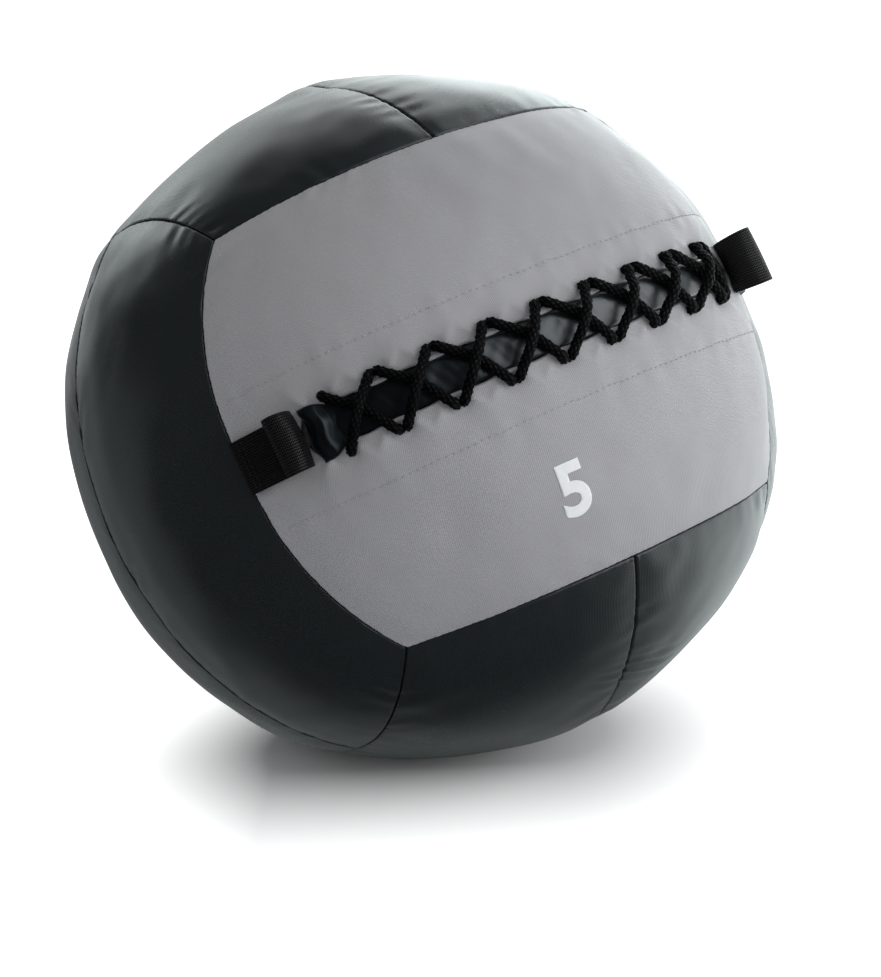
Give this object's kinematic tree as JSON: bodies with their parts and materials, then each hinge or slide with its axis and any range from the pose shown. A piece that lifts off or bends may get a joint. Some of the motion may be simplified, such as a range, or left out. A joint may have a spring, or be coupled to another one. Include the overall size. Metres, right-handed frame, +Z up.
{
  "type": "wall ball",
  "caption": "Soft weighted training ball: sewn vinyl panels, a filling slit laced shut with cord over a tongue, and a webbing loop at each end of the slit.",
  "frame": {"origin": "on the floor under the ball's centre, in the flat patch that it rests on", "axes": "+Z up from the floor; -Y is the level direction that the laced face looks towards; +X to the right of someone who faces it"},
  "size_m": [0.3466, 0.3506, 0.334],
  "materials": {
    "grey_vinyl": "satin",
    "black_vinyl": "satin",
    "gloss_vinyl": "gloss",
    "black_cord": "matte",
    "black_webbing": "matte",
    "liner_cloth": "matte",
    "fibre_padding": "matte",
    "weight_bag_canvas": "matte",
    "sand": "matte"
  },
  "bodies": {
    "ball": {"grey_upper_panel": "grey_vinyl", "grey_lower_panel": "grey_vinyl", "top_left_panel": "black_vinyl", "top_right_panel": "black_vinyl", "bottom_left_panel": "black_vinyl", "bottom_right_panel": "black_vinyl", "left_front_panel": "black_vinyl", "left_rear_panel": "black_vinyl", "right_front_panel": "black_vinyl", "right_rear_panel": "black_vinyl", "back_upper_panel": "black_vinyl", "back_lower_panel": "black_vinyl", "upper_slit_facing": "black_vinyl", "lower_slit_facing": "black_vinyl", "tongue": "gloss_vinyl", "lace": "black_cord", "liner_bag": "liner_cloth", "front_padding": "fibre_padding", "rear_padding": "fibre_padding", "weight_bag": "weight_bag_canvas", "sand_fill": "sand"},
    "left_loop": {"left_webbing_loop": "black_webbing"},
    "right_loop": {"right_webbing_loop": "black_webbing"}
  },
  "joints": [
    {"name": "left_loop_fold", "type": "hinge", "parent": "ball", "child": "left_loop", "pos_m": [-0.13061, -0.11007, 0.17677], "axis": [0.2786, -0.4304, -0.8586], "range_deg": [0, 100], "stiffness_Nm_per_rad": 0.05},
    {"name": "right_loop_fold", "type": "hinge", "parent": "ball", "child": "right_loop", "pos_m": [0.13061, -0.07802, 0.24071], "axis": [-0.2786, 0.4304, 0.8586], "range_deg": [0, 100], "stiffness_Nm_per_rad": 0.05}
  ]
}
